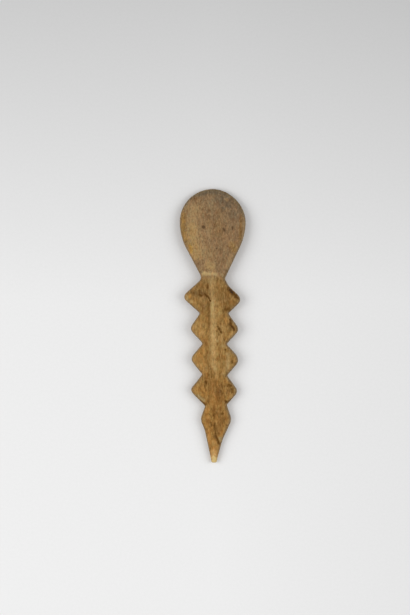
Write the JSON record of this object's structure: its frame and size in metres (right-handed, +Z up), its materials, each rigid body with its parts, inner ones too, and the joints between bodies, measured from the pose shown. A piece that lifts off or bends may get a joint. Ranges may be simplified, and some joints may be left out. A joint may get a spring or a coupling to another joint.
{
  "type": "bone spoon",
  "caption": "Spoon carved from one piece of bone: a shallow teardrop bowl, a flat handle notched along both edges into lozenges, and a lance-shaped point.",
  "frame": {"origin": "on the surface the spoon lies on, under the middle of its length and width", "axes": "+Y along the spoon towards the bowl, +Z up out of the hollow, +X to the right seen from above"},
  "size_m": [0.0384, 0.16, 0.0077],
  "materials": {
    "bone": "aged and handled, satin on the raised parts and dull in the hollow"
  },
  "bodies": {
    "root": {"bone_spoon": "bone"}
  },
  "joints": []
}
